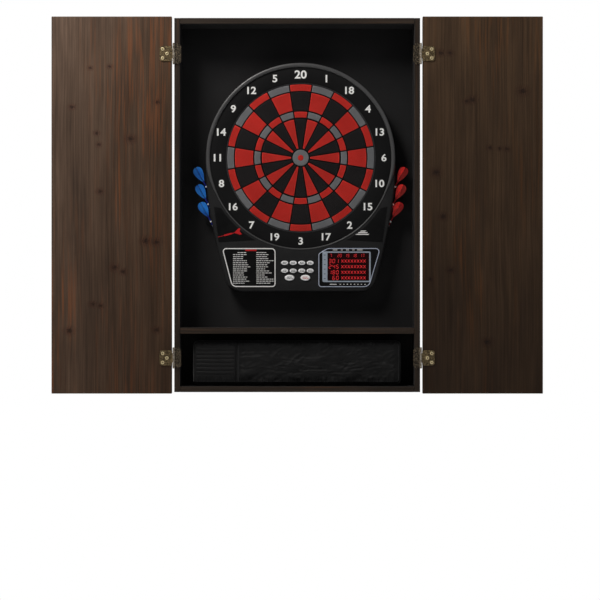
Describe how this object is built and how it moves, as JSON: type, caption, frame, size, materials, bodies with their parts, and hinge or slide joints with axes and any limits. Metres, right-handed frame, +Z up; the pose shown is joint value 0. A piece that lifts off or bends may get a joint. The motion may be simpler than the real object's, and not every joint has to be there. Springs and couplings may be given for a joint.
{
  "type": "electronic dartboard",
  "caption": "Electronic soft-tip dartboard with numbered scoring face, keypad and lit display, hung in a shallow wooden wall cabinet with hinged doors, stored darts and a pouch.",
  "frame": {"origin": "centre of the cabinet's rear face, on the wall", "axes": "+Z up, +Y into the wall, so the front faces -Y, +X to the right as seen from the front"},
  "size_m": [1.299, 0.101, 0.997],
  "materials": {
    "carcass_wood": "dark espresso stain, satin",
    "back_panel": "matt black",
    "left_door_wood": "espresso stain over knotty boards, satin",
    "right_door_wood": "espresso stain over knotty boards, satin",
    "antique_brass": "antique, satin",
    "housing_plastic": "satin",
    "black_plastic": "satin",
    "number_ring_black": "fine texture",
    "web_black": "satin",
    "segment_red": "satin, moulded holes",
    "segment_black": "satin, moulded holes",
    "segment_grey": "satin, moulded holes",
    "film": "translucent film",
    "foam": "open foam",
    "circuit_board": "solder mask",
    "rubber_mat": "matt",
    "display": "smoked lens over red lamps",
    "silver_trim": "silver paint",
    "card_black": "printed card",
    "steel": "plated",
    "key_grey": "semi-gloss",
    "dart_blue": "flight film",
    "dart_red": "flight film",
    "black_nylon": "woven nylon"
  },
  "bodies": {
    "cabinet": {"cabinet_left_side": "carcass_wood", "cabinet_right_side": "carcass_wood", "cabinet_top": "carcass_wood", "cabinet_bottom": "carcass_wood", "cabinet_shelf": "carcass_wood", "cabinet_back": "back_panel", "left_upper_hinge_frame_leaf": "antique_brass", "left_upper_hinge_pin": "antique_brass", "left_lower_hinge_frame_leaf": "antique_brass", "left_lower_hinge_pin": "antique_brass", "right_upper_hinge_frame_leaf": "antique_brass", "right_upper_hinge_pin": "antique_brass", "right_lower_hinge_frame_leaf": "antique_brass", "right_lower_hinge_pin": "antique_brass", "front_housing": "housing_plastic", "rear_cover": "black_plastic", "number_ring": "number_ring_black", "spider": "web_black", "sensor_membrane": "film", "foam_pad": "foam", "backing_plate": "black_plastic", "control_pcb": "circuit_board", "keypad_mat": "rubber_mat", "display_module": "display", "display_bezel": "silver_trim", "game_card": "card_black", "speaker": "steel", "power_jack": "black_plastic", "ribbon_cable": "film", "hanging_screw_left": "steel", "hanging_screw_right": "steel"},
    "left_door": {"left_door": "left_door_wood", "left_upper_hinge_door_leaf": "antique_brass", "left_lower_hinge_door_leaf": "antique_brass"},
    "right_door": {"right_door": "right_door_wood", "right_upper_hinge_door_leaf": "antique_brass", "right_lower_hinge_door_leaf": "antique_brass"},
    "double_segments": {"double_segments": "segment_red"},
    "outer_single_segments": {"outer_single_segments": "segment_black"},
    "triple_segments": {"triple_segments": "segment_red"},
    "inner_single_segments": {"inner_single_segments": "segment_black"},
    "outer_bull": {"outer_bull": "segment_grey"},
    "inner_bull": {"inner_bull": "segment_red"},
    "keypad_button_01": {"keypad_button_01": "key_grey"},
    "keypad_button_02": {"keypad_button_02": "key_grey"},
    "keypad_button_03": {"keypad_button_03": "key_grey"},
    "keypad_button_04": {"keypad_button_04": "key_grey"},
    "keypad_button_05": {"keypad_button_05": "key_grey"},
    "keypad_button_06": {"keypad_button_06": "key_grey"},
    "keypad_button_07": {"keypad_button_07": "key_grey"},
    "keypad_button_08": {"keypad_button_08": "key_grey"},
    "keypad_button_09": {"keypad_button_09": "key_grey"},
    "keypad_button_10": {"keypad_button_10": "key_grey"},
    "left_dart_1": {"left_dart_1": "dart_blue"},
    "left_dart_2": {"left_dart_2": "dart_blue"},
    "left_dart_3": {"left_dart_3": "dart_blue"},
    "right_dart_1": {"right_dart_1": "dart_red"},
    "right_dart_2": {"right_dart_2": "dart_red"},
    "right_dart_3": {"right_dart_3": "dart_red"},
    "storage_pouch": {"storage_pouch": "black_nylon"}
  },
  "joints": [
    {"name": "left_door_hinge", "type": "hinge", "parent": "cabinet", "child": "left_door", "pos_m": [-0.3265, -0.098, 0], "axis": [0, 0, -1], "range_deg": [-180, 0]},
    {"name": "right_door_hinge", "type": "hinge", "parent": "cabinet", "child": "right_door", "pos_m": [0.3265, -0.098, 0], "axis": [0, 0, 1], "range_deg": [-180, 0]},
    {"name": "double_segments_press", "type": "slide", "parent": "cabinet", "child": "double_segments", "axis": [0, 1, 0], "range_m": [0, 0.001], "stiffness_N_per_m": 600},
    {"name": "outer_single_segments_press", "type": "slide", "parent": "cabinet", "child": "outer_single_segments", "axis": [0, 1, 0], "range_m": [0, 0.001], "stiffness_N_per_m": 600},
    {"name": "triple_segments_press", "type": "slide", "parent": "cabinet", "child": "triple_segments", "axis": [0, 1, 0], "range_m": [0, 0.001], "stiffness_N_per_m": 600},
    {"name": "inner_single_segments_press", "type": "slide", "parent": "cabinet", "child": "inner_single_segments", "axis": [0, 1, 0], "range_m": [0, 0.001], "stiffness_N_per_m": 600},
    {"name": "outer_bull_press", "type": "slide", "parent": "cabinet", "child": "outer_bull", "axis": [0, 1, 0], "range_m": [0, 0.001], "stiffness_N_per_m": 600},
    {"name": "inner_bull_press", "type": "slide", "parent": "cabinet", "child": "inner_bull", "axis": [0, 1, 0], "range_m": [0, 0.001], "stiffness_N_per_m": 600},
    {"name": "keypad_button_01_press", "type": "slide", "parent": "cabinet", "child": "keypad_button_01", "axis": [0, 1, 0], "range_m": [0, 0.0015], "stiffness_N_per_m": 300},
    {"name": "keypad_button_02_press", "type": "slide", "parent": "cabinet", "child": "keypad_button_02", "axis": [0, 1, 0], "range_m": [0, 0.0015], "stiffness_N_per_m": 300},
    {"name": "keypad_button_03_press", "type": "slide", "parent": "cabinet", "child": "keypad_button_03", "axis": [0, 1, 0], "range_m": [0, 0.0015], "stiffness_N_per_m": 300},
    {"name": "keypad_button_04_press", "type": "slide", "parent": "cabinet", "child": "keypad_button_04", "axis": [0, 1, 0], "range_m": [0, 0.0015], "stiffness_N_per_m": 300},
    {"name": "keypad_button_05_press", "type": "slide", "parent": "cabinet", "child": "keypad_button_05", "axis": [0, 1, 0], "range_m": [0, 0.0015], "stiffness_N_per_m": 300},
    {"name": "keypad_button_06_press", "type": "slide", "parent": "cabinet", "child": "keypad_button_06", "axis": [0, 1, 0], "range_m": [0, 0.0015], "stiffness_N_per_m": 300},
    {"name": "keypad_button_07_press", "type": "slide", "parent": "cabinet", "child": "keypad_button_07", "axis": [0, 1, 0], "range_m": [0, 0.0015], "stiffness_N_per_m": 300},
    {"name": "keypad_button_08_press", "type": "slide", "parent": "cabinet", "child": "keypad_button_08", "axis": [0, 1, 0], "range_m": [0, 0.0015], "stiffness_N_per_m": 300},
    {"name": "keypad_button_09_press", "type": "slide", "parent": "cabinet", "child": "keypad_button_09", "axis": [0, 1, 0], "range_m": [0, 0.0015], "stiffness_N_per_m": 300},
    {"name": "keypad_button_10_press", "type": "slide", "parent": "cabinet", "child": "keypad_button_10", "axis": [0, 1, 0], "range_m": [0, 0.0015], "stiffness_N_per_m": 300},
    {"name": "left_dart_1_pull", "type": "slide", "parent": "cabinet", "child": "left_dart_1", "axis": [-0.4867, 0, 0.8736], "range_m": [0, 0.01]},
    {"name": "left_dart_2_pull", "type": "slide", "parent": "cabinet", "child": "left_dart_2", "axis": [-0.4867, 0, 0.8736], "range_m": [0, 0.01]},
    {"name": "left_dart_3_pull", "type": "slide", "parent": "cabinet", "child": "left_dart_3", "axis": [-0.4867, 0, 0.8736], "range_m": [0, 0.01]},
    {"name": "right_dart_1_pull", "type": "slide", "parent": "cabinet", "child": "right_dart_1", "axis": [0.4867, 0, 0.8736], "range_m": [0, 0.01]},
    {"name": "right_dart_2_pull", "type": "slide", "parent": "cabinet", "child": "right_dart_2", "axis": [0.4867, 0, 0.8736], "range_m": [0, 0.01]},
    {"name": "right_dart_3_pull", "type": "slide", "parent": "cabinet", "child": "right_dart_3", "axis": [0.4867, 0, 0.8736], "range_m": [0, 0.01]},
    {"name": "storage_pouch_slide", "type": "slide", "parent": "cabinet", "child": "storage_pouch", "axis": [0, -1, 0], "range_m": [0, 0.12]}
  ]
}
